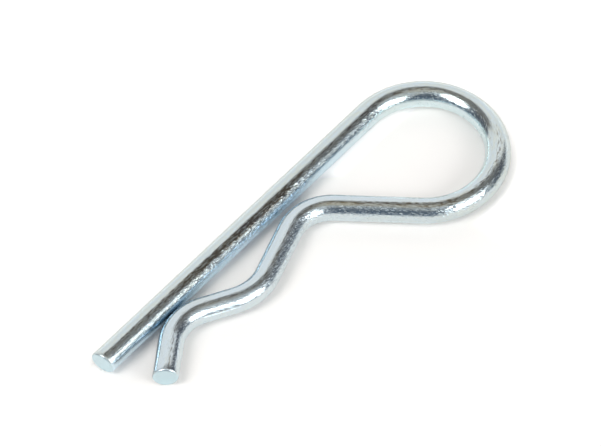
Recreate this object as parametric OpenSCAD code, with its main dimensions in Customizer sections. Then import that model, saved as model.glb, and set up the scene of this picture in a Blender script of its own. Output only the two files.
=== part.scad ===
// Hitch clip pin (R clip), bent from one length of round spring wire.
//
// The clip lies flat. +X runs along the straight leg from its cut end to the
// eye, +Z is up, and the wavy leg is on the -Y side. Each bend is an arc of
// the wire's centre line round a bending roller, and the wire runs straight
// along the tangent from one roller to the next. The origin is under the
// middle of the clip's outer box.

/* [Wire] */
// Diameter of the spring wire
wire_d = 4; // [3:0.1:4.2]
// Radius of the worn rim round each cut end
rim_r = 0.45; // [0.2:0.05:0.8]

/* [Straight leg] */
// Length from the cut end to the start of the eye
leg_len = 61.7; // [58:0.1:80]
// Sideways slant of the cut end, in degrees
leg_cut_slant = 7; // [0:0.5:10]
// Downward slant of the cut end, in degrees
leg_cut_tilt = 5; // [0:0.5:8]

/* [Eye] */
// Bend radius of the eye, at the wire's centre
eye_r = 11.2; // [10:0.1:14]

/* [First bump] */
// Distance of the bump from the straight leg's cut end
bump_x = 39.3; // [38:0.1:42]
// Gap left between the bump and the straight leg
bump_gap = 1; // [0.3:0.1:2]
// Bend radius of the bump, at the wire's centre
bump_r = 7; // [5:0.1:8]

/* [Shaft seat] */
// Distance of the seat from the straight leg's cut end
seat_x = 25.9; // [25:0.1:27]
// Radius of the seat's inner face, round the straight leg's axis
seat_r = 6.6; // [6:0.1:7.2]

/* [Grip bump] */
// Distance of the bump from the straight leg's cut end
grip_x = 13.7; // [11:0.1:14.5]
// Gap left between the bump and the straight leg
grip_gap = 0.12; // [0.1:0.01:1]
// Bend radius of the bump, at the wire's centre
grip_r = 7.4; // [6:0.1:8]

/* [Tail] */
// Angle between the flared tail and the straight leg, in degrees
tail_flare = 33; // [20:1:45]
// Length from the grip bump's bend to the cut end
tail_len = 6.7; // [4:0.1:12]
// Sideways slant of the cut end, in degrees
tail_cut_slant = 7; // [0:0.5:8]
// Downward slant of the cut end, in degrees
tail_cut_tilt = 1.5; // [0:0.5:8]

/* [Hidden] */
$fn = 64;

wire_r = wire_d / 2;
zinc_colour = [0.80, 0.83, 0.84];
left = 1;
right = -1;

// Each straight runs this far into the bends at its ends, which are thicker
// by a few thousandths of a millimetre, so that the wire is one solid
joint_lap = 0.03;
bend_swell = 0.006;

// Bending rollers in the order the wire meets them, each as its centre,
// the radius of the wire's centre line round it and the way the wire turns
rollers = [
    [[leg_len, -eye_r], eye_r, right],
    [[bump_x, -(wire_d + bump_gap + bump_r)], bump_r, left],
    [[seat_x, 0], seat_r + wire_r, right],
    [[grip_x, -(wire_d + grip_gap + grip_r)], grip_r, left]
];
last = len(rollers) - 1;

function centre(i) = rollers[i][0];
function radius(i) = rollers[i][1];
function turn(i) = rollers[i][2];

// Heading of the wire's tangent from roller i to the next one, in degrees
function tangent_heading(i) =
    let (
        gap = centre(i + 1) - centre(i),
        lift = turn(i + 1) * radius(i + 1) - turn(i) * radius(i)
    )
    atan2(gap.y, gap.x) - asin(lift / norm(gap));

// Heading of the wire as it reaches roller i, and as it leaves the last one
function heading(i) = i == 0 ? 0
    : i > last ? 180 + tail_flare
    : tangent_heading(i - 1);

// Angle that the wire turns through round roller i
function sweep(i) =
    let (angle = turn(i) * (heading(i + 1) - heading(i)))
    angle - 360 * floor(angle / 360);

// Unit vector along a heading
function along(way) = [cos(way), sin(way)];

// Point of the centre line on roller i where the wire has this heading
function on_roller(i, way) =
    centre(i) + turn(i) * radius(i) * along(way - 90);

// Where straight number i starts; number 0 starts at the leg's cut end
function straight_start(i) = i == 0 ? [0, 0] : on_roller(i - 1, heading(i));

// Where straight number i ends; the last one ends at the tail's cut end
function straight_end(i) = i <= last ? on_roller(i, heading(i))
    : straight_start(i) + tail_len * along(heading(i));

// Flat part of a cut face, inside its rounded rim
rim_turn = 60;
face_r = wire_r - rim_r * sin(rim_turn);

// The clip's outer box, seen from above, and its middle
leg_cut_lean = acos(cos(leg_cut_slant) * cos(leg_cut_tilt));
box_left = -face_r * sin(leg_cut_lean);
box_right = leg_len + eye_r + wire_r;
box_front = -2 * eye_r - wire_r;
box_back = wire_r;
middle = [(box_left + box_right) / 2, (box_front + box_back) / 2];

// Straight number i, with a given extra length before and after it
module straight(i, before = joint_lap, after = joint_lap) {
    start = straight_start(i) - before * along(heading(i));
    reach = norm(straight_end(i) - straight_start(i)) + before + after;
    translate([start.x, start.y, 0])
        rotate([0, 90, heading(i)])
            rotate([0, 0, 90])
                cylinder(h = reach, r = wire_r);
}

// The arc of wire round roller i, swept anticlockwise from either of its ends
module bend(i) {
    first = turn(i) == left ? heading(i) - 90 : heading(i + 1) + 90;
    translate([centre(i).x, centre(i).y, 0])
        rotate([0, 0, first])
            rotate_extrude(angle = sweep(i))
                translate([radius(i), 0])
                    circle(r = wire_r + bend_swell);
}

// Space kept by a cut: a solid that ends in a flat face at the origin with a
// rounded rim, looking along +X, and that widens behind the rim past the wire
module behind_cut(slant, tilt, depth) {
    rim = [
        for (angle = [0 : rim_turn / 4 : rim_turn])
            [face_r + rim_r * sin(angle), rim_r * (cos(angle) - 1)]
    ];
    rim_end = rim[len(rim) - 1];
    rotate([0, tilt, slant])
        rotate([0, 90, 0])
            rotate_extrude()
                polygon(concat(
                    [[0, -depth], [0, 0]],
                    rim,
                    [[rim_end.x + depth, rim_end.y - depth / 2], [depth, -depth]]
                ));
}

// The straight leg, cut from longer wire
module leg() {
    intersection() {
        straight(0, before = wire_r);
        rotate([0, 0, 180])
            behind_cut(leg_cut_slant, leg_cut_tilt, leg_len + wire_d);
    }
}

// The flared tail, cut from longer wire
module tail() {
    end = straight_end(last + 1);
    intersection() {
        straight(last + 1, after = wire_r);
        translate([end.x, end.y, 0])
            rotate([0, 0, heading(last + 1)])
                behind_cut(tail_cut_slant, tail_cut_tilt, tail_len + wire_d);
    }
}

// The whole clip, lying on the ground
module clip_wire() {
    color(zinc_colour)
        translate([-middle.x, -middle.y, wire_r + bend_swell]) {
            leg();
            for (i = [0 : last])
                bend(i);
            for (i = [1 : last])
                straight(i);
            tail();
        }
}

clip_wire();
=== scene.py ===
# %% [markdown]
# # A hitch clip pin, bent from spring wire
#
# This clip is pushed through a hole across the end of a hitch pin or a shaft,
# so that nothing can slide off. Its straight leg goes through the hole. Its
# wavy leg rides over the outside and grips it, and the round eye is both the
# spring and the handle. All of it is one length of round steel wire, zinc
# plated after bending, which lies here flat on a white table.
#
# The solid loaded first fixes the frame for everything below: metres, +X
# along the straight leg towards the eye, +Z up, and the origin on the table
# under the middle of the clip. The steps are: bend the wire, cut its ends,
# give it its plating, then set up the camera, the table and the lamps.

import math

import bmesh
import bpy
from mathutils import Matrix, Vector


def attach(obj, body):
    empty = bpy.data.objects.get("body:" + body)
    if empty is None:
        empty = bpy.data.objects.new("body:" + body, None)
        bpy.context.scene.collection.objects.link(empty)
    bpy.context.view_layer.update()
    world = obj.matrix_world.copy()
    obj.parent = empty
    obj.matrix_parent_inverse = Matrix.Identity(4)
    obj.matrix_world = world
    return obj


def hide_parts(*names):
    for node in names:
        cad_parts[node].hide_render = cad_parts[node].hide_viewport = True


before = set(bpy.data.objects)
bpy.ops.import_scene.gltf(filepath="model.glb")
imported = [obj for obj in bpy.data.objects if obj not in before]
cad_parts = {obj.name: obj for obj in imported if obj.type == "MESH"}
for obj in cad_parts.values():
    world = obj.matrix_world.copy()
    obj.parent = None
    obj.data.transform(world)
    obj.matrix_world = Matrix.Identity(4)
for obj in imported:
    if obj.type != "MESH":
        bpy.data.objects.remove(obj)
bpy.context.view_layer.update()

# %% [markdown]
# ## The sizes of the bent wire
#
# A wire bender works with rollers. The wire runs straight to a roller, wraps
# round it, and leaves along the tangent to the next one. So the whole outline
# needs only the wire's size and four rollers, and every straight falls out of
# the tangents. A hand-drawn curve would need many points, and its bends would
# not be true arcs. The sizes are the solid's own, in millimetres, measured
# along the straight leg from its cut end.

# %% Sizes in millimetres
MM = 0.001

wire_d = 4.0
wire_r = wire_d / 2
leg_len = 61.7
eye_r = 11.2
bump_x, bump_gap, bump_r = 39.3, 1.0, 7.0
seat_x, seat_r = 25.9, 6.6
grip_x, grip_gap, grip_r = 13.7, 0.12, 7.4
tail_flare, tail_len = 33.0, 6.7
left, right = 1, -1

# Each roller: centre, radius of the wire's centre line round it, way it turns.
# They make the eye, the first bump, the seat for the shaft and the grip bump.
rollers = [
    (Vector((leg_len, -eye_r)), eye_r, right),
    (Vector((bump_x, -(wire_d + bump_gap + bump_r))), bump_r, left),
    (Vector((seat_x, 0.0)), seat_r + wire_r, right),
    (Vector((grip_x, -(wire_d + grip_gap + grip_r))), grip_r, left),
]
print("rollers:", len(rollers), " wire diameter:", wire_d, "mm")

# %% [markdown]
# ## Where the clip lies
#
# The frame's origin is under the middle of the clip's outer box. The eye is
# the widest part of the clip, so it gives three sides of that box. The fourth
# is the straight leg's cut face. It leans a few degrees out of square, so its
# flat part reaches a little past the point where the leg is measured from.

# %% The middle of the outer box
leg_cut_slant, leg_cut_tilt = 7.0, 5.0

# The solid's cut face is flat inside a rim of this radius, which is rounded
# through this many degrees
solid_rim_r, solid_rim_turn = 0.45, 60.0

face_r = wire_r - solid_rim_r * math.sin(math.radians(solid_rim_turn))
cut_lean = math.acos(
    math.cos(math.radians(leg_cut_slant)) * math.cos(math.radians(leg_cut_tilt)))
box_left = -face_r * math.sin(cut_lean)
box_right = leg_len + eye_r + wire_r
middle = Vector(((box_left + box_right) / 2, -eye_r))

# The solid's bends are swollen a little, so it lies that much higher
bend_swell = 0.006
wire_z = wire_r + bend_swell
print("middle of the box:", [round(v, 3) for v in middle], " wire's height:", wire_z)


# %% [markdown]
# ## The directions of the straight runs
#
# The tangent from one roller to the next leans off the line between their
# centres. The lean depends on the two radii, and on whether the wire turns
# the same way round both. The last run is the tail, flared away from the leg
# so that the clip can be pushed over a shaft.

# %% Headings
def along(heading):
    """Unit vector along a heading in degrees."""
    return Vector((math.cos(math.radians(heading)), math.sin(math.radians(heading))))


def tangent_heading(a, b):
    """Heading of the wire's tangent from roller a to roller b."""
    gap = b[0] - a[0]
    lift = b[2] * b[1] - a[2] * a[1]
    return math.degrees(math.atan2(gap.y, gap.x) - math.asin(lift / gap.length))


headings = [0.0]
headings += [tangent_heading(a, b) for a, b in zip(rollers, rollers[1:])]
headings += [180 + tail_flare]
print("headings of the straight runs:", [round(h, 1) for h in headings])

# %% [markdown]
# ## The wire's section
#
# A curve with a round bevel would give a similar tube, but its sections lean
# where straights meet arcs. Here one circle of edges is the section, and it
# is pushed along the same path as the real wire.
#
# While the tube grows, each point also stores where it was on the straight
# wire before bending: along it, across it and up, in metres. Plating, rubbing
# and drawing lines follow the wire, so they are all placed by this later.

# %% The first ring
RING = 96

bm = bmesh.new()
straight_wire = bm.verts.layers.float_vector.new("straight_wire")

# The section starts a little before the cut end, and is cut back later
overrun = 1.2 * wire_r
bmesh.ops.create_circle(bm, cap_ends=False, segments=RING, radius=wire_r * MM)
upright = Matrix.Rotation(math.radians(90), 3, "Y")
bmesh.ops.rotate(bm, verts=bm.verts, cent=(0, 0, 0), matrix=upright)
for v in bm.verts:
    v[straight_wire] = Vector((-overrun * MM, v.co.y, v.co.z))
start = -middle - overrun * along(0)
bmesh.ops.translate(bm, verts=bm.verts, vec=(start.x * MM, start.y * MM, wire_z * MM))
ring = list(bm.edges)
print("section:", len(ring), "edges")


# %% [markdown]
# ## Two moves of the wire bender
#
# The bender has two moves: feed the wire straight, or wrap it round a roller.
# Feeding is an extrusion in short steps, and wrapping is a spin about the
# roller's axis, one small turn at a time. The steps are about half a
# millimetre, short enough for an arc's outline to look smooth and for the
# reflections to run evenly through a bend.

# %% Feeding and wrapping
STEP = 0.45


def remember(ring, advance):
    """This ring is further along the straight wire than the one it grew from."""
    for v in {v for e in ring for v in e.verts}:
        v[straight_wire] = v[straight_wire] + Vector((advance * MM, 0, 0))


def run_straight(ring, length, heading, step=STEP):
    """Extrudes the ring along a heading, in steps of about this length."""
    steps = max(1, round(length / step))
    move = along(heading) * length / steps * MM
    for _ in range(steps):
        grown = bmesh.ops.extrude_edge_only(bm, edges=ring)["geom"]
        ring = [g for g in grown if isinstance(g, bmesh.types.BMEdge)
                and all(len(v.link_edges) < 4 for v in g.verts)]
        verts = {v for e in ring for v in e.verts}
        bmesh.ops.translate(bm, verts=list(verts), vec=(move.x, move.y, 0))
        remember(ring, length / steps)
    return ring


def wrap_round(ring, roller, angle):
    """Spins the ring round a roller by an angle in degrees, in steps."""
    centre, radius, way = roller
    length = math.radians(angle) * radius
    steps = max(1, round(length / STEP))
    place = (centre - middle) * MM
    for _ in range(steps):
        spun = bmesh.ops.spin(
            bm, geom=ring, cent=(place.x, place.y, wire_z * MM), axis=(0, 0, way),
            angle=math.radians(angle) / steps, steps=1, use_merge=False,
            use_duplicate=False,
        )
        ring = [g for g in spun["geom_last"] if isinstance(g, bmesh.types.BMEdge)]
        remember(ring, length / steps)
    return ring


def on_roller(roller, heading):
    """Point of the centre line on a roller, where the wire has this heading."""
    return roller[0] + roller[2] * roller[1] * along(heading - 90)


print("longest step:", STEP, "mm")

# %% [markdown]
# ## Bending the clip
#
# The wire is followed from the leg's cut end, through the eye and the three
# bends of the wavy leg, to the tail. The first and last stretch are each one
# long step, so no ring lies near a cut and the rim can be rounded there.

# %% From the leg to the tail
land = 1.4
ring = run_straight(ring, overrun + land, headings[0], step=overrun + land)
here = land * along(0)
wire_len = land
for i, heading in enumerate(headings):
    if i < len(rollers):
        there = on_roller(rollers[i], heading)
        ring = run_straight(ring, (there - here).length, heading)
        turned = (rollers[i][2] * (headings[i + 1] - heading)) % 360
        ring = wrap_round(ring, rollers[i], turned)
        wire_len += (there - here).length + math.radians(turned) * rollers[i][1]
        here = on_roller(rollers[i], headings[i + 1])
    else:
        ring = run_straight(ring, tail_len - land, heading)
        ring = run_straight(ring, land + overrun, heading, step=land + overrun)
        tail_end = here + tail_len * along(heading)
        wire_len += tail_len
print("wire:", round(wire_len, 2), "mm long,", len(bm.verts), "verts")

# %% [markdown]
# ## The sheared ends
#
# The wire is cut off by a shear, so each end is nearly flat and a few degrees
# out of square. Its rim is rolled over by the blade, then rounded again by
# tumbling and plating, and it catches a thin line of light.
#
# The tube is cut by a plane, the cut is closed with one face, and its rim is
# bevelled. A separate disc with a rounded edge would leave a seam, and a
# sharp rim would look like a drawing and not like cut wire.

# %% Cutting, closing and rounding the ends
rim_r = 0.42
tail_cut_slant, tail_cut_tilt = 7.0, 1.5

# Distances in metres and millimetres that pick points near a cut, and its rim
MERGE = 1e-7
CUT_REACH, RIM_REACH = 2.5 * wire_r, 1.2 * wire_r


def cut_off(point, heading, slant, tilt):
    """Cuts the tube with a slanted face that looks along a heading, and rounds its rim."""
    lean = (Matrix.Rotation(math.radians(heading + slant), 3, "Z")
            @ Matrix.Rotation(math.radians(tilt), 3, "Y"))
    place = (point - middle) * MM
    co = Vector((place.x, place.y, wire_z * MM))
    near = [v for v in bm.verts if (v.co - co).length < CUT_REACH * MM]
    faces = {f for v in near for f in v.link_faces}
    edges = {e for v in near for e in v.link_edges}
    bmesh.ops.bisect_plane(
        bm, geom=[*near, *edges, *faces], dist=MERGE,
        plane_co=co, plane_no=lean @ Vector((1, 0, 0)), clear_outer=True,
    )
    rim = [e for e in bm.edges
           if e.is_boundary and (e.verts[0].co - co).length < RIM_REACH * MM]
    closed = bmesh.ops.contextual_create(bm, geom=rim)["faces"]
    closed[0].material_index = 1
    bmesh.ops.bevel(
        bm, geom=list(closed[0].edges), offset=rim_r * MM, offset_type="OFFSET",
        affect="EDGES", segments=6, profile=0.5, material=-1, clamp_overlap=True,
    )


cut_off(Vector((0, 0)), 180, leg_cut_slant, leg_cut_tilt)
cut_off(tail_end, headings[-1], tail_cut_slant, tail_cut_tilt)
bmesh.ops.remove_doubles(bm, verts=bm.verts, dist=MERGE)
bmesh.ops.recalc_face_normals(bm, faces=bm.faces)
print("open edges:", sum(e.is_boundary for e in bm.edges), " faces:", len(bm.faces))

# %% [markdown]
# ## The wire as one object
#
# The clip is one piece with no joints, so one object stands in for the solid.
# It stays at the origin, unturned and unscaled, because it was built in place.

# %% The finished wire
mesh = bpy.data.meshes.new("bent_wire")
bm.to_mesh(mesh)
bm.free()
mesh.shade_smooth()
wire = bpy.data.objects.new("bent_wire", mesh)
bpy.context.scene.collection.objects.link(wire)
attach(wire, "root")
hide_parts("clip_wire")
print("bent wire:", len(mesh.polygons), "faces")


# %% [markdown]
# ## Three helpers
#
# Colours are written as they look on a screen and turned into the linear
# values that light is worked out with. The second helper adds a node of any
# kind with its settings and its links, so a material reads as a short list.
# The third turns millimetres along the wire into the stops of a colour ramp.
#
# Sockets are named by number. A Map Range node takes its value at 0, the
# range it comes from at 1 and 2, and the range it goes to at 3 and 4. A Mix
# node takes its share at 0, and its two colours at 6 and 7.

# %% Colour, node and ramp helpers
def linear(hex_colour):
    """An sRGB hex colour as the linear RGBA that Blender's nodes use."""
    parts = [int(hex_colour[i:i + 2], 16) / 255 for i in (1, 3, 5)]
    return [*(c / 12.92 if c <= 0.04045 else ((c + 0.055) / 1.055) ** 2.4
              for c in parts), 1.0]


def add(tree, kind, sockets=None, stops=None, **settings):
    """Adds a node. Sockets gives inputs a value or a link, stops fills a colour ramp."""
    new = tree.nodes.new(kind)
    for name, value in settings.items():
        setattr(new, name, value)
    for name, value in (sockets or {}).items():
        if isinstance(value, bpy.types.NodeSocket):
            tree.links.new(value, new.inputs[name])
        else:
            new.inputs[name].default_value = value
    if stops:
        ramp = new.color_ramp.elements
        ramp[0].position, ramp[1].position = stops[0][0], stops[-1][0]
        ramp[0].color, ramp[1].color = stops[0][1], stops[-1][1]
        for place, colour in stops[1:-1]:
            ramp.new(place).color = colour
    return new


def along_wire(shares):
    """Stops of a grey ramp along the wire, from pairs of millimetres and a share."""
    return [(at / wire_len, (much, much, much, 1)) for at, much in shares]


print("mid grey in linear light:", round(linear("#808080")[0], 3))

# %% [markdown]
# ## Bright zinc plate
#
# The wire is electroplated with zinc and dipped in a clear passivate. That
# gives a bright metal with a faint cool blue, and a film that is thicker and
# bluer in places. Under it are the marks of the drawn wire. On top are the
# rubs and nicks from the barrel in which the clips tumble together.
#
# A plain mirror would look like chrome, and plain grey would look like
# plastic. So the plate is one metal whose relief, colour and gloss all vary
# along the wire. Everything is placed on the straight wire, in millimetres:
# X along it, Y to the left of its heading, and Z up from its centre line.

# %% Where a point is on the straight wire
zinc = bpy.data.materials.new("zinc_plated_spring_steel_clear_passivated")
zinc.use_nodes = True
tree = zinc.node_tree
tree.nodes.clear()

wire_place = add(tree, "ShaderNodeAttribute",
                 attribute_name="straight_wire", attribute_type="GEOMETRY")
in_mm = add(tree, "ShaderNodeVectorMath", {
    0: wire_place.outputs["Vector"], 1: (1000, 1000, 1000)}, operation="MULTIPLY").outputs[0]
place = add(tree, "ShaderNodeSeparateXYZ", {0: in_mm})

# Share of the wire's length, which the colour ramps below run along
share = add(tree, "ShaderNodeMath", {
    0: place.outputs["X"], 1: 1 / wire_len}, operation="MULTIPLY").outputs[0]

# The crown is the top of the wire, the flank its lower side, and the inner
# side faces the other leg. Each mask fades in from its first limit to its
# second, in millimetres from the centre line
CROWN, FLANK, INNER = (1.70, 1.86), (1.32, 1.02), (0.0, -0.6)

crown = add(tree, "ShaderNodeMapRange", {
    0: place.outputs["Z"], 1: CROWN[0], 2: CROWN[1], 3: 0.0, 4: 1.0},
    interpolation_type="SMOOTHSTEP").outputs[0]
flank = add(tree, "ShaderNodeMapRange", {
    0: place.outputs["Z"], 1: FLANK[0], 2: FLANK[1], 3: 0.0, 4: 1.0},
    interpolation_type="SMOOTHSTEP").outputs[0]
inner = add(tree, "ShaderNodeMapRange", {
    0: place.outputs["Y"], 1: INNER[0], 2: INNER[1], 3: 0.0, 4: 1.0},
    interpolation_type="SMOOTHSTEP").outputs[0]
print("places on the wire:", len(tree.nodes), "nodes")

# %% [markdown]
# ## Drawing lines and waves
#
# Wire is pulled through a die, which leaves fine lines along it. Real ones
# are a few hundredths of a millimetre apart, too fine to be seen from here,
# so they are drawn 0.12 mm apart and 3 mm long. They break the edges of the
# long highlights. Slow waves, some 2 mm across and 7 mm long, stand for the
# slightly uneven plate, and let those highlights swell and thin.

# %% Drawing lines and waves
LINE_LONG, LINE_WIDE, LINE_DEEP = 3.0, 0.12, 0.015
WAVE_LONG, WAVE_WIDE, WAVE_DEEP = 7.2, 2.4, 0.05

line_place = add(tree, "ShaderNodeMapping", {
    "Vector": in_mm, "Scale": (1 / LINE_LONG, 1 / LINE_WIDE, 1 / LINE_WIDE)})
lines = add(tree, "ShaderNodeTexNoise", {
    "Vector": line_place.outputs[0], "Scale": 1.0, "Detail": 2.0, "Roughness": 0.6})
line_height = add(tree, "ShaderNodeMath", {
    0: lines.outputs["Fac"], 1: LINE_DEEP}, operation="MULTIPLY")

wave_place = add(tree, "ShaderNodeMapping", {
    "Vector": in_mm, "Scale": (1 / WAVE_LONG, 1 / WAVE_WIDE, 1 / WAVE_WIDE)})
waves = add(tree, "ShaderNodeTexNoise", {
    "Vector": wave_place.outputs[0], "Scale": 1.0, "Detail": 1.0})
wave_height = add(tree, "ShaderNodeMath", {
    0: waves.outputs["Fac"], 1: WAVE_DEEP}, operation="MULTIPLY")

relief = add(tree, "ShaderNodeMath", {
    0: line_height.outputs[0], 1: wave_height.outputs[0]}, operation="ADD")
print("lines", LINE_WIDE, "mm apart, waves", WAVE_WIDE, "mm apart")

# %% [markdown]
# ## Scuffs from tumbling
#
# Clips rub against each other in the barrel. Each rub pushes the soft zinc up
# into a short slanted ridge, about 0.75 mm by 0.25 mm and 0.045 mm high. They
# lie on one side of the wire. They are thickest on the middle of the straight
# leg and on the wavy leg between its first bump and the seat, weak in the eye,
# and nearly absent at the leg's cut end. So a ramp along the wire says how
# scuffed it is, and a mask keeps the scuffs to one side.

# %% How scuffed the wire is along it and round it
# The eye turns the wire by half a turn between these places along it
TURN_START, TURN_END = 62.0, 96.0

# How scuffed the wire is: millimetres along it, and a share
scuff_stops = (
    (0, 0.05), (13, 0.08), (17, 0.35), (22, 0.8), (34, 1.0), (42, 1.0), (46, 0.45),
    (49, 0.14), (57, 0.16), (60, 0.7), (64, 0.25), (95, 0.25), (100, 0.5), (104, 0.5),
    (108, 0.30), (123, 0.30), (127, 1.0), (138, 1.0), (142, 0.15), (wire_len, 0.15))
scuffed = add(tree, "ShaderNodeValToRGB", {"Fac": share}, stops=along_wire(scuff_stops))

# The scuffed side is on the right of the leg, and on the left of the wavy leg
side = add(tree, "ShaderNodeMapRange", {
    0: place.outputs["X"], 1: TURN_START, 2: TURN_END, 3: -0.7, 4: 1.0})
outer = add(tree, "ShaderNodeMath", {
    0: place.outputs["Y"], 1: side.outputs[0]}, operation="MULTIPLY")
outer = add(tree, "ShaderNodeMapRange", {
    0: outer.outputs[0], 1: 0.55, 2: 1.0, 3: 0.0, 4: 1.0}, interpolation_type="SMOOTHSTEP")
scuff_share = add(tree, "ShaderNodeMath", {
    0: scuffed.outputs["Color"], 1: outer.outputs[0]}, operation="MULTIPLY")
print("scuffs:", len(scuff_stops), "stops along the wire")

# %% The scuffs themselves
SCUFF_LONG, SCUFF_WIDE, SCUFF_DEEP = 0.75, 0.24, 0.045
SCUFF_SLANT = -0.35

# Where the noise is between these, a scuff goes from its rim to its full height
SCUFF_RIM, SCUFF_TOP = 0.48, 0.68

scuff_place = add(tree, "ShaderNodeMapping", {
    "Vector": in_mm, "Rotation": (0, 0, SCUFF_SLANT),
    "Scale": (SCUFF_LONG, SCUFF_WIDE, SCUFF_WIDE)}, vector_type="TEXTURE")
scuffs = add(tree, "ShaderNodeTexNoise", {
    "Vector": scuff_place.outputs[0], "Scale": 1.0, "Detail": 2.0, "Roughness": 0.5})
scuff_height = add(tree, "ShaderNodeMapRange", {
    0: scuffs.outputs["Fac"], 1: SCUFF_RIM, 2: SCUFF_TOP, 3: 0.0, 4: SCUFF_DEEP},
    interpolation_type="SMOOTHSTEP")
scuff_height = add(tree, "ShaderNodeMath", {
    0: scuff_height.outputs[0], 1: scuff_share.outputs[0]}, operation="MULTIPLY")
relief = add(tree, "ShaderNodeMath", {
    0: relief.outputs[0], 1: scuff_height.outputs[0]}, operation="ADD")
print("scuffs", SCUFF_WIDE, "mm wide and", SCUFF_LONG, "mm long")

# %% [markdown]
# ## Dings
#
# A few larger nicks are left where clips knocked together, and one long dent
# by the grip bump, where the wire was pressed on its roller. Each is an oval
# hollow of its own, at most 0.15 mm deep. The gloss breaks there into a
# bright spot beside a dark one, which the eye reads at once as a dent.

# %% Dings
# Each ding: its middle on the straight wire, its half sizes, its depth, its turn
dings = [
    ((26.6, -1.02, 1.72), (0.34, 0.22, 0.22), 0.13, -0.6),
    ((43.1, -1.12, 1.66), (1.05, 0.28, 0.28), 0.15, -0.22),
    ((59.4, -1.12, 1.66), (0.34, 0.24, 0.24), 0.15, -0.5),
    ((60.9, -1.20, 1.60), (0.90, 0.16, 0.16), 0.07, 0.0),
    ((110.2, 1.64, 1.14), (0.35, 0.16, 0.16), 0.05, 0.2),
    ((102.8, 1.30, 1.52), (0.60, 0.25, 0.25), 0.05, -0.3),
    ((147.5, 1.84, 0.79), (4.40, 0.12, 0.12), 0.05, 0.0),
]
for ding_middle, half, depth, turn in dings:
    near = add(tree, "ShaderNodeMapping", {
        "Vector": in_mm, "Location": ding_middle, "Rotation": (0, 0, turn),
        "Scale": half}, vector_type="TEXTURE")
    off = add(tree, "ShaderNodeVectorMath", {0: near.outputs[0]}, operation="LENGTH")
    dent = add(tree, "ShaderNodeMapRange", {
        0: off.outputs["Value"], 1: 0.0, 2: 1.0, 3: -depth, 4: 0.0},
        interpolation_type="SMOOTHSTEP")
    relief = add(tree, "ShaderNodeMath", {
        0: relief.outputs[0], 1: dent.outputs[0]}, operation="ADD")

# The relief is in millimetres
bump = add(tree, "ShaderNodeBump", {
    "Height": relief.outputs[0], "Strength": 1.0, "Distance": MM})
print("dings:", len(dings))

# %% [markdown]
# ## The plate's own colour
#
# Passivated zinc is a pale grey, a little green or blue depending on how the
# film dried. Flecks of two close greys, about a millimetre long, keep it from
# looking painted. The wavy leg dried slightly bluer than the straight one.

# %% Flecks
FLECK_LONG, FLECK_WIDE = 1.1, 0.35

# Where the bluer grey of the wavy leg begins and is full
BLUER_FROM, BLUER_TO = 94.0, 114.0

fleck_place = add(tree, "ShaderNodeMapping", {
    "Vector": in_mm, "Location": (5, 5, 5),
    "Scale": (1 / FLECK_LONG, 1 / FLECK_WIDE, 1 / FLECK_WIDE)})
flecks = add(tree, "ShaderNodeTexNoise", {
    "Vector": fleck_place.outputs[0], "Scale": 1.0, "Detail": 2.0})
fleck_share = add(tree, "ShaderNodeMapRange", {
    0: flecks.outputs["Fac"], 1: 0.35, 2: 0.65, 3: 0.0, 4: 1.0})
plate = add(tree, "ShaderNodeMix", {
    0: fleck_share.outputs[0], 6: linear("#d1d9d5"), 7: linear("#cedade")},
    data_type="RGBA")

far_half = add(tree, "ShaderNodeMapRange", {
    0: place.outputs["X"], 1: BLUER_FROM, 2: BLUER_TO, 3: 0.0, 4: 0.6})
plate = add(tree, "ShaderNodeMix", {
    0: far_half.outputs[0], 6: plate.outputs[2], 7: linear("#d4e0e7")},
    data_type="RGBA")
print("flecks", FLECK_LONG, "mm long in two greys, and a bluer one for the wavy leg")

# %% [markdown]
# ## The film on the inner flank, and painted reflection there
#
# Where the liquid ran off slowly, low on the side that faces the other leg,
# the passivate is thicker and bluer. Its tint drifts along the wire, partly as
# painted reflection: lighter or darker to stand in for the shaded floor and
# the other leg that this flank reflects. It is strongest where the two legs
# nearly touch. A ramp of tints along the wire gives that drift, and the flank
# and inner masks say where it lies.

# %% Film and painted reflection
# Passivate tints along the wire, each made lighter or darker as painted reflection of the shaded
# floor and the other leg
film_and_painted_reflection_tints = (
    (0, "#d6e8f2"), (8, "#cbe2f2"), (12, "#aacde4"), (16, "#b0cfe6"), (20, "#c6dfee"),
    (32, "#d2e8f8"), (37, "#c4e0f4"), (42, "#bcd8ee"), (47, "#cde3ef"), (56, "#d6e6ed"),
    (63, "#dcebee"), (84, "#dcebee"), (92, "#d2dde0"), (116, "#d8e2e6"),
    (121, "#f0f6f8"), (125, "#e4e8e8"), (150, "#e0e4e4"), (154, "#c8ccce"),
    (wire_len, "#c4c8ca"))
film_and_painted_reflection = add(tree, "ShaderNodeValToRGB", {"Fac": share}, stops=[
    (at / wire_len, linear(tint)) for at, tint in film_and_painted_reflection_tints])
film_and_painted_reflection_share = add(tree, "ShaderNodeMath", {0: flank, 1: inner}, operation="MULTIPLY")
plate = add(tree, "ShaderNodeMix", {
    0: film_and_painted_reflection_share.outputs[0], 6: plate.outputs[2], 7: film_and_painted_reflection.outputs["Color"]},
    data_type="RGBA")
print("film:", len(film_and_painted_reflection_tints), "tints along the wire")

# %% [markdown]
# ## Smoky streaks and painted shade
#
# The upper side of the wire is darker and browner, in streaks a millimetre
# long and a fifth of one wide. Here the plate is thin over the drawn steel,
# and handling has darkened it. The darkening is also painted shade, which
# widens and deepens the dark bands that the top of the wire reflects. It is
# heaviest on the middle of the leg, fades through the eye, and comes back on
# the wavy leg. A lighter metal everywhere would leave the top of the wire flat
# and empty, as it reflects a dark room.

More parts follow.
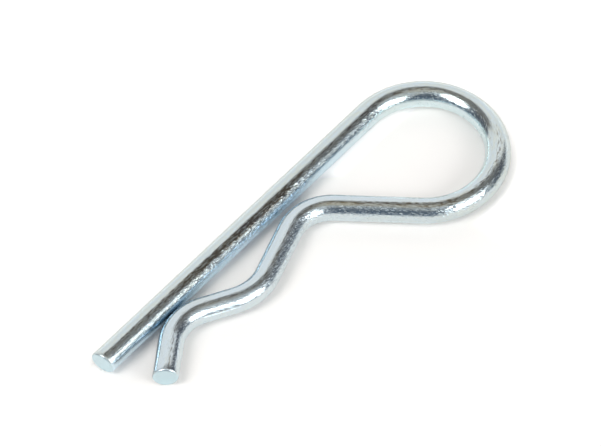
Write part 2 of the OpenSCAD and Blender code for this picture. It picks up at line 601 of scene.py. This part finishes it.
# %% How smoky and painted-dark the wire is along it and round it
smoke_and_shade_stops = (
    (0, 0.15), (10, 0.28), (15, 0.38), (21, 0.72), (30, 0.78), (34, 0.90), (41, 0.90),
    (45, 0.38), (57, 0.33), (60, 0.42), (62, 0.42), (65, 0.30), (90, 0.20), (98, 0.25),
    (103, 0.42), (110, 0.38), (118, 0.36), (125, 0.28), (138, 0.28), (142, 0.18),
    (wire_len, 0.22))
smoke_and_shade = add(tree, "ShaderNodeValToRGB", {"Fac": share}, stops=along_wire(smoke_and_shade_stops))

# The far edge of the smoke and painted shade wanders across the top of the leg
# and of the wavy leg
leg_rim = add(tree, "ShaderNodeMapRange", {
    0: place.outputs["X"], 1: 20.0, 2: 46.0, 3: 0.10, 4: -0.18})
leg_edge = add(tree, "ShaderNodeMath", {
    0: leg_rim.outputs[0], 1: place.outputs["Y"]}, operation="SUBTRACT")
tail_rim = add(tree, "ShaderNodeMapRange", {
    0: place.outputs["X"], 1: 100.0, 2: 122.0, 3: -0.30, 4: 0.15})
tail_edge = add(tree, "ShaderNodeMath", {
    0: place.outputs["Y"], 1: tail_rim.outputs[0]}, operation="SUBTRACT")
half_way = add(tree, "ShaderNodeMapRange", {
    0: place.outputs["X"], 1: 78.0, 2: 92.0, 3: 0.0, 4: 1.0})
smoke_and_shade_from = add(tree, "ShaderNodeMix", {
    0: half_way.outputs[0], 2: leg_edge.outputs[0], 3: tail_edge.outputs[0]},
    data_type="FLOAT")
smoke_and_shade_side = add(tree, "ShaderNodeMapRange", {
    0: smoke_and_shade_from.outputs[0], 1: 0.0, 2: 0.25, 3: 0.0, 4: 1.0},
    interpolation_type="SMOOTHSTEP")

# Its near edge is at this height over the centre line where there is none,
# and lower by up to the spread where there is more of it
SMOKE_AND_SHADE_EDGE, SMOKE_AND_SHADE_SPREAD, SMOKE_AND_SHADE_FADE = 1.94, 0.58, 0.22

smoke_and_shade_reach = add(tree, "ShaderNodeMath", {
    0: smoke_and_shade.outputs["Color"], 1: SMOKE_AND_SHADE_SPREAD, 2: -SMOKE_AND_SHADE_EDGE}, operation="MULTIPLY_ADD")
smoke_and_shade_upper = add(tree, "ShaderNodeMath", {
    0: place.outputs["Z"], 1: smoke_and_shade_reach.outputs[0]}, operation="ADD")
smoke_and_shade_upper = add(tree, "ShaderNodeMapRange", {
    0: smoke_and_shade_upper.outputs[0], 1: 0.0, 2: SMOKE_AND_SHADE_FADE, 3: 0.0, 4: 1.0},
    interpolation_type="SMOOTHSTEP")
print("smoke:", len(smoke_and_shade_stops), "stops along the wire")

# %% [markdown]
# ## The streaks themselves
#
# The share of smoke and painted shade is broken up by a noise stretched along
# the wire, before it is masked. So the streaks thin out towards the ends of
# the smoky part instead of fading evenly. Two browns, one greyer, alternate slowly.

# %% Streaks and their two browns
STREAK_LONG, STREAK_WIDE, STREAK_SLANT = 1.0, 0.20, -0.08
STREAK_STRENGTH = 1.1
STAIN_LONG, STAIN_WIDE = 7.0, 2.0

mottle_place = add(tree, "ShaderNodeMapping", {
    "Vector": in_mm, "Location": (9, 9, 9), "Rotation": (0, 0, STREAK_SLANT),
    "Scale": (STREAK_LONG, STREAK_WIDE, STREAK_WIDE)}, vector_type="TEXTURE")
mottle = add(tree, "ShaderNodeTexNoise", {
    "Vector": mottle_place.outputs[0], "Scale": 1.0, "Detail": 2.0, "Roughness": 0.7})
mottle = add(tree, "ShaderNodeMapRange", {
    0: mottle.outputs["Fac"], 1: 0.34, 2: 0.66, 3: -STREAK_STRENGTH, 4: STREAK_STRENGTH})
smoke_and_shade_share = add(tree, "ShaderNodeMath", {
    0: smoke_and_shade.outputs["Color"], 1: mottle.outputs[0]}, operation="ADD", use_clamp=True)
smoke_and_shade_share = add(tree, "ShaderNodeMath", {
    0: smoke_and_shade_share.outputs[0], 1: smoke_and_shade_side.outputs[0]}, operation="MULTIPLY")
smoke_and_shade_share = add(tree, "ShaderNodeMath", {
    0: smoke_and_shade_share.outputs[0], 1: smoke_and_shade_upper.outputs[0]}, operation="MULTIPLY")

# Patches choose between the browns, and straw stains use them again
stain_place = add(tree, "ShaderNodeMapping", {
    "Vector": in_mm, "Location": (7, 7, 7),
    "Scale": (1 / STAIN_LONG, 1 / STAIN_WIDE, 1 / STAIN_WIDE)})
stains = add(tree, "ShaderNodeTexNoise", {
    "Vector": stain_place.outputs[0], "Scale": 1.0, "Detail": 2.0})
browner = add(tree, "ShaderNodeMapRange", {
    0: stains.outputs["Fac"], 1: 0.4, 2: 0.6, 3: 0.0, 4: 1.0})
smoke_and_shade_colour = add(tree, "ShaderNodeMix", {
    0: browner.outputs[0], 6: linear("#7c797c"), 7: linear("#827c70")}, data_type="RGBA")
# Mixes in the browns: a stain in the plate, and painted shade that deepens the dark bands on top
plate = add(tree, "ShaderNodeMix", {
    0: smoke_and_shade_share.outputs[0], 6: plate.outputs[2], 7: smoke_and_shade_colour.outputs[2]},
    data_type="RGBA")
print("streaks", STREAK_WIDE, "mm wide and", STREAK_LONG, "mm long")

# %% [markdown]
# ## Dark grey on the scuffs, and straw stains
#
# Grey dirt from the barrel clings to the scuffs, so each is a dark fleck
# A dark grey is mixed onto the scuffs above the flank, so each is a dark fleck
# beside a bright edge. It uses the same noise as their relief, so that the
# colour sits exactly on them. Straw stains are where the passivate dried
# yellowish, mostly along the top of the first run of the wavy leg.

# %% Dark grey on the scuffs
# The grey starts and is full at these levels of the scuffs' noise
GREY_FROM, GREY_FULL, GREY_SHARE = 0.50, 0.58, 0.80

scuff_grey = add(tree, "ShaderNodeMapRange", {
    0: scuffs.outputs["Fac"], 1: GREY_FROM, 2: GREY_FULL, 3: 0.0, 4: GREY_SHARE},
    interpolation_type="SMOOTHSTEP")
upper = add(tree, "ShaderNodeMath", {0: 1.0, 1: flank}, operation="SUBTRACT")
scuff_grey = add(tree, "ShaderNodeMath", {
    0: scuff_grey.outputs[0], 1: upper.outputs[0]}, operation="MULTIPLY")
scuff_grey = add(tree, "ShaderNodeMath", {
    0: scuff_grey.outputs[0], 1: scuff_share.outputs[0]}, operation="MULTIPLY")
plate = add(tree, "ShaderNodeMix", {
    0: scuff_grey.outputs[0], 6: plate.outputs[2], 7: linear("#6a757e")}, data_type="RGBA")
print("dirt hides up to", GREY_SHARE, "of the zinc's colour on a scuff")

# %% Straw stains
straw_stops = (
    (0, 0.0), (98, 0.0), (101, 0.18), (104, 0.12), (107, 0.18), (115, 0.20), (118, 0.36),
    (122, 0.28), (127, 0.0), (wire_len, 0.0))
straw = add(tree, "ShaderNodeValToRGB", {"Fac": share}, stops=along_wire(straw_stops))
straw_share = add(tree, "ShaderNodeMath", {
    0: straw.outputs["Color"], 1: crown}, operation="MULTIPLY")
straw_share = add(tree, "ShaderNodeMath", {
    0: straw_share.outputs[0], 1: smoke_and_shade_side.outputs[0]}, operation="MULTIPLY")
stain_share = add(tree, "ShaderNodeMapRange", {
    0: stains.outputs["Fac"], 1: 0.5, 2: 0.75, 3: 0.0, 4: 0.15})
stain_share = add(tree, "ShaderNodeMath", {
    0: stain_share.outputs[0], 1: straw_share.outputs[0]}, operation="ADD", use_clamp=True)
plate = add(tree, "ShaderNodeMix", {
    0: stain_share.outputs[0], 6: plate.outputs[2], 7: linear("#cdc9ae")}, data_type="RGBA")
print("straw:", len(straw_stops), "stops along the wire")

# %% [markdown]
# ## Gloss
#
# Bright zinc is glossy but not a mirror. A roughness of about an eighth keeps
# the softboxes as bright bars with soft edges. Dull grains, 0.7 mm by
# 0.18 mm, are tiny frosted spots in the plate that fray those edges. They
# are weaker on the crown. The rims of the cut ends are worn dull by tumbling.

# %% Gloss
PLATE_ROUGHNESS = 0.13
GRAIN_LONG, GRAIN_WIDE, GRAIN_SLANT = 0.70, 0.18, -0.2
GRAIN_DULL = 0.30

grain_place = add(tree, "ShaderNodeMapping", {
    "Vector": in_mm, "Location": (3, 3, 3), "Rotation": (0, 0, GRAIN_SLANT),
    "Scale": (GRAIN_LONG, GRAIN_WIDE, GRAIN_WIDE)}, vector_type="TEXTURE")
grains = add(tree, "ShaderNodeTexNoise", {
    "Vector": grain_place.outputs[0], "Scale": 1.0, "Detail": 2.0, "Roughness": 0.65})
grain_share = add(tree, "ShaderNodeMapRange", {
    0: grains.outputs["Fac"], 1: 0.52, 2: 0.68, 3: 0.0, 4: GRAIN_DULL},
    interpolation_type="SMOOTHSTEP")
on_crown = add(tree, "ShaderNodeMapRange", {0: crown, 1: 0.0, 2: 1.0, 3: 1.0, 4: 0.45})
dull = add(tree, "ShaderNodeMath", {
    0: grain_share.outputs[0], 1: on_crown.outputs[0]}, operation="MULTIPLY")
dull = add(tree, "ShaderNodeMath", {0: dull.outputs[0], 1: PLATE_ROUGHNESS}, operation="ADD")
print("grains", GRAIN_WIDE, "mm wide and", GRAIN_LONG, "mm long")

# %% Worn rims and the finished plate
# The wear starts and is full at these distances from either cut end
WEAR_FROM, WEAR_FULL, WEAR_DULL = 0.6, 0.2, 0.25

half_len = wire_len / 2
from_middle = add(tree, "ShaderNodeMath", {
    0: place.outputs["X"], 1: half_len}, operation="SUBTRACT")
from_middle = add(tree, "ShaderNodeMath", {0: from_middle.outputs[0]}, operation="ABSOLUTE")
rim_wear = add(tree, "ShaderNodeMapRange", {
    0: from_middle.outputs[0], 1: half_len - WEAR_FROM, 2: half_len - WEAR_FULL,
    3: 0.0, 4: WEAR_DULL})
dull = add(tree, "ShaderNodeMath", {0: dull.outputs[0], 1: rim_wear.outputs[0]}, operation="ADD")

shader = add(tree, "ShaderNodeBsdfPrincipled", {
    "Base Color": plate.outputs[2], "Metallic": 1.0, "Roughness": dull.outputs[0],
    "Normal": bump.outputs[0]})
add(tree, "ShaderNodeOutputMaterial", {"Surface": shader.outputs["BSDF"]})
mesh.materials.append(zinc)
print("plate material:", len(tree.nodes), "nodes")

# %% [markdown]
# ## The sheared faces
#
# The blade leaves a fine matt face, and the plating over it stays matt. It
# shows as an even pale blue disc, clearly different from the glossy side.

# %% Sheared ends
sheared = bpy.data.materials.new("zinc_plated_sheared_end")
sheared.use_nodes = True
tree = sheared.node_tree
tree.nodes.clear()
shader = add(tree, "ShaderNodeBsdfPrincipled", {
    "Base Color": linear("#c9dde3"), "Metallic": 1.0, "Roughness": 0.3})
add(tree, "ShaderNodeOutputMaterial", {"Surface": shader.outputs["BSDF"]})
mesh.materials.append(sheared)
print("materials on the wire:", [m.name for m in mesh.materials])

# %% [markdown]
# ## Camera
#
# The clip is seen from the cut ends' side and from well above, through a long
# lens from far away, so its two legs keep their true proportions. The view is
# described by how far the straight leg turns away from the camera's right,
# and how steeply the camera looks down. Its right and away directions are
# then used to place the lamps too.

# %% Camera
leg_turn = math.radians(49.892)
look_down = math.radians(52.57)
camera_distance = 1.5
aim = Vector((3.05, 6.51, 0.0)) * MM

right_way = Vector((math.cos(leg_turn), -math.sin(leg_turn), 0))
away = Vector((math.sin(leg_turn), math.cos(leg_turn), 0))
up = Vector((0, 0, 1))
forward = math.cos(look_down) * away - math.sin(look_down) * up

camera_data = bpy.data.cameras.new("camera")
camera_data.sensor_width = 36.0
camera_data.lens = 595.4
camera = bpy.data.objects.new("camera", camera_data)
camera.location = aim - camera_distance * forward
camera.rotation_euler = forward.to_track_quat("-Z", "Y").to_euler()
bpy.context.scene.collection.objects.link(camera)
bpy.context.scene.camera = camera
print("camera looks down by", round(math.degrees(look_down), 1), "degrees")

# %% [markdown]
# ## The table
#
# The clip lies on a plain white sheet that fades into a white background. It
# is only a stage and is not part of the clip.

# %% Table
TABLE_HALF = 4.0

bm = bmesh.new()
bmesh.ops.create_grid(bm, x_segments=1, y_segments=1, size=TABLE_HALF)
table_mesh = bpy.data.meshes.new("table")
bm.to_mesh(table_mesh)
bm.free()
table = bpy.data.objects.new("table", table_mesh)
bpy.context.scene.collection.objects.link(table)
print("table:", 2 * TABLE_HALF, "m wide,", len(table_mesh.polygons), "face")

# %% [markdown]
# ## White paper
#
# The sheet is a matt white, a little warm, which keeps the shadows from going
# blue. It must stay clean white away from the clip without more light on the
# wire, so it also gives off a little white to rays that look at it, more of
# it further away. Behind the leg and round the outside of the eye it gives off
# more, for the camera only: painted light that washes out the clip's shadow there.

# %% Paper
# How much white it gives off near the clip, and how much from further away
NEAR_LIFT, FAR_LIFT = 0.045, 0.40
NEAR, FAR = 40 * MM, 200 * MM

paper = bpy.data.materials.new("white_paper")
paper.use_nodes = True
tree = paper.node_tree
tree.nodes.clear()

seen = add(tree, "ShaderNodeLightPath")
looked_at = add(tree, "ShaderNodeMath", {
    0: seen.outputs["Is Camera Ray"], 1: seen.outputs["Is Glossy Ray"]},
    operation="MAXIMUM")
looked_at = add(tree, "ShaderNodeMath", {
    0: looked_at.outputs[0], 1: seen.outputs["Is Transmission Ray"]},
    operation="MAXIMUM")
place = add(tree, "ShaderNodeTexCoord")
reach = add(tree, "ShaderNodeVectorMath", {0: place.outputs["Object"]}, operation="LENGTH")
far_off = add(tree, "ShaderNodeMapRange", {
    0: reach.outputs["Value"], 1: NEAR, 2: FAR, 3: NEAR_LIFT, 4: FAR_LIFT},
    interpolation_type="SMOOTHSTEP")
lift_by = add(tree, "ShaderNodeMath", {
    0: looked_at.outputs[0], 1: far_off.outputs[0]}, operation="MULTIPLY")
print("clean sheet from", FAR, "m off")

# %% [markdown]
# ## Painted light behind the clip
#
# A line a little behind the straight leg, and a ring round the eye, are where
# painted light for the camera washes out the clip's shadow on the paper. Close
# to the eye the line comes nearer, to meet the ring, and the ring counts only
# at the eye's end of the clip. Both fade in over a few millimetres, so that no
# edge shows.

# %% The sheet behind the leg and round the eye
# Strength of the painted light that washes out the shadow behind the leg and round the eye
SHADOW_WASH_LIGHT = 0.35

# The line's distance behind the clip's long axis, where it comes nearer, and
# how much, then the ring's distance from the eye's middle and where it counts
LINE_FROM, LINE_TO = 12.5 * MM, 15.5 * MM
NEARER_FROM, NEARER_TO, NEARER_BY = 8 * MM, 14 * MM, 6 * MM
RING_FROM, RING_TO = 12.6 * MM, 14.6 * MM
EYE_FROM, EYE_TO = 18 * MM, 26 * MM

sides = add(tree, "ShaderNodeSeparateXYZ", {0: place.outputs["Object"]})
nearer = add(tree, "ShaderNodeMapRange", {
    0: sides.outputs["X"], 1: NEARER_FROM, 2: NEARER_TO, 3: 0.0, 4: NEARER_BY})
behind_leg = add(tree, "ShaderNodeMath", {
    0: sides.outputs["Y"], 1: nearer.outputs[0]}, operation="ADD")
behind_leg = add(tree, "ShaderNodeMapRange", {
    0: behind_leg.outputs[0], 1: LINE_FROM, 2: LINE_TO, 3: 0.0, 4: SHADOW_WASH_LIGHT},
    interpolation_type="SMOOTHSTEP")

eye_middle = ((rollers[0][0] - middle) * MM).to_3d()
from_eye = add(tree, "ShaderNodeVectorMath", {
    0: place.outputs["Object"], 1: eye_middle}, operation="SUBTRACT")
from_eye = add(tree, "ShaderNodeVectorMath", {0: from_eye.outputs[0]}, operation="LENGTH")
round_eye = add(tree, "ShaderNodeMapRange", {
    0: from_eye.outputs["Value"], 1: RING_FROM, 2: RING_TO, 3: 0.0, 4: SHADOW_WASH_LIGHT},
    interpolation_type="SMOOTHSTEP")
eye_side = add(tree, "ShaderNodeMapRange", {
    0: sides.outputs["X"], 1: EYE_FROM, 2: EYE_TO, 3: 0.0, 4: 1.0})
round_eye = add(tree, "ShaderNodeMath", {
    0: round_eye.outputs[0], 1: eye_side.outputs[0]}, operation="MULTIPLY")

# Painted light over the clip's shadow, for the camera only
clean = add(tree, "ShaderNodeMath", {
    0: behind_leg.outputs[0], 1: round_eye.outputs[0]}, operation="MAXIMUM")
clean = add(tree, "ShaderNodeMath", {
    0: seen.outputs["Is Camera Ray"], 1: clean.outputs[0]}, operation="MULTIPLY")
lift_by = add(tree, "ShaderNodeMath", {
    0: lift_by.outputs[0], 1: clean.outputs[0]}, operation="MAXIMUM")

print("clean ring from", RING_TO, "m off the eye's middle")

# %% The paper's colour
matt = add(tree, "ShaderNodeBsdfDiffuse", {"Color": linear("#fffaf5")})
lift = add(tree, "ShaderNodeEmission", {
    "Color": (1, 1, 1, 1), "Strength": lift_by.outputs[0]})
both = add(tree, "ShaderNodeAddShader", {0: matt.outputs[0], 1: lift.outputs[0]})
add(tree, "ShaderNodeOutputMaterial", {"Surface": both.outputs[0]})
table_mesh.materials.append(paper)
print("paper material:", len(tree.nodes), "nodes")


# %% [markdown]
# ## Lamps
#
# A round metal wire shows hardly anything but the room, so the lamps are
# placed by what it reflects. A softbox on the right draws the bright bar
# along the leg. One on the left draws the white bars on the wavy leg's
# bends. A white wall behind the clip gives its far side an even pale band.
#
# Each lamp is given by its brightness as a share of white paper, which is
# easier to judge than watts. Directions start at the camera's right, and turn
# away from the camera.

# %% Lamp helpers
# Watts per square metre that make a lamp look as bright as white paper
LAMP_WATTS = math.pi ** 2 / 4


def area_lamp(name, location, toward, size, radiance, shape, colour, roll=0.0):
    """A flat lamp at a place, whose light goes the other way from this direction."""
    data = bpy.data.lights.new(name, "AREA")
    data.shape = shape
    data.size, data.size_y = size
    data.energy = radiance * LAMP_WATTS * size[0] * size[1]
    data.color = colour
    lamp = bpy.data.objects.new(name, data)
    lamp.location = location
    facing = (-toward).to_track_quat("-Z", "Y").to_matrix().to_4x4()
    lamp.rotation_euler = (Matrix.Rotation(roll, 4, toward) @ facing).to_euler()
    bpy.context.scene.collection.objects.link(lamp)
    print(name, "looks", radiance, "times as bright as paper")


def softbox(name, azimuth, elevation, distance, size, radiance, roll=0.0,
            shape="RECTANGLE", colour=(1, 1, 1)):
    """A lamp in a direction from the clip, turned to face it."""
    a, e = math.radians(azimuth), math.radians(elevation)
    toward = (math.cos(e) * (math.cos(a) * right_way + math.sin(a) * away)
              + math.sin(e) * up)
    area_lamp(name, distance * toward, toward, size, radiance, shape, colour, roll)


def wall(name, x0, x1, y, z0, z1, radiance):
    """An upright lamp behind the clip, from x0 to x1 sideways and z0 to z1 up."""
    location = (x0 + x1) / 2 * right_way + y * away + (z0 + z1) / 2 * up
    area_lamp(name, location, away, (x1 - x0, z1 - z0), radiance, "RECTANGLE", (1, 1, 1))


# %% Lamps
COOL = (0.96, 0.985, 1)

wall("back_wall", -1.14, 0.66, 0.6, 0.0, 0.93, 1.05)
wall("back_wall_low", 0.66, 1.30, 0.6, 0.0, 0.27, 1.00)
softbox("right_softbox", -36.5, 28.5, 0.6, (0.40, 0.295), 6.6, roll=-0.05, colour=COOL)
softbox("right_glow", -42, 54, 0.8, (0.70, 0.50), 0.40)
softbox("right_fill", -9, 31, 0.7, (0.20, 0.29), 0.68)
softbox("left_softbox", 214, 49, 0.6, (0.32, 0.43), 5.8, shape="ELLIPSE", colour=COOL)

# %% [markdown]
# ## The rest of the room
#
# Between the lamps the wire reflects a dim room: pale and cool near the
# table's edge, dark slate above that, and a little warmer overhead. This is
# what makes the dark bands along the wire, and most of the look of metal
# comes from them. The room behind the clip is darker and less blue than the
# room in front, so there is a ramp by height for each, mixed sideways.

# %% Room
world = bpy.data.worlds.new("studio_room")
world.use_nodes = True
bpy.context.scene.world = world
tree = world.node_tree
tree.nodes.clear()
direction = add(tree, "ShaderNodeTexCoord")
faced = add(tree, "ShaderNodeMapping", {
    "Vector": direction.outputs["Generated"], "Rotation": (0, 0, leg_turn)})
height = add(tree, "ShaderNodeSeparateXYZ", {"Vector": faced.outputs[0]})

# Colours by height, from the horizon at 0 to straight up at 1. They are the
# light itself and not a surface, so they are written in linear light, where
# paper white is 1
front_stops = [
    (0.0, (0.60, 0.64, 0.68, 1)), (0.05, (0.32, 0.36, 0.41, 1)),
    (0.12, (0.21, 0.25, 0.30, 1)), (0.20, (0.155, 0.19, 0.24, 1)),
    (0.31, (0.115, 0.145, 0.19, 1)), (0.50, (0.115, 0.145, 0.185, 1)),
    (0.64, (0.14, 0.165, 0.20, 1)), (0.75, (0.19, 0.215, 0.25, 1)),
    (0.87, (0.29, 0.315, 0.335, 1)), (0.95, (0.40, 0.40, 0.39, 1)),
    (0.985, (0.66, 0.63, 0.58, 1))]
back_stops = [
    (0.0, (0.60, 0.63, 0.66, 1)), (0.06, (0.34, 0.37, 0.41, 1)),
    (0.20, (0.16, 0.18, 0.21, 1)), (0.40, (0.11, 0.12, 0.145, 1)),
    (0.70, (0.165, 0.165, 0.175, 1)), (0.90, (0.25, 0.24, 0.23, 1)),
    (0.97, (0.30, 0.285, 0.27, 1)), (1.0, (0.60, 0.57, 0.52, 1))]
front = add(tree, "ShaderNodeValToRGB", {"Fac": height.outputs["Z"]}, stops=front_stops)
back = add(tree, "ShaderNodeValToRGB", {"Fac": height.outputs["Z"]}, stops=back_stops)
toward_back = add(tree, "ShaderNodeMapRange", {
    0: height.outputs["Y"], 1: -0.25, 2: 0.15, 3: 0.0, 4: 1.0},
    interpolation_type="SMOOTHSTEP")
room = add(tree, "ShaderNodeMix", {
    0: toward_back.outputs[0], 6: front.outputs["Color"], 7: back.outputs["Color"]},
    data_type="RGBA")
sky = add(tree, "ShaderNodeBackground", {"Color": room.outputs[2], "Strength": 1.0})
add(tree, "ShaderNodeOutputWorld", {"Surface": sky.outputs["Background"]})
bpy.context.scene.view_settings.view_transform = "Standard"
print("room:", len(front_stops), "colours in front,", len(back_stops), "behind")
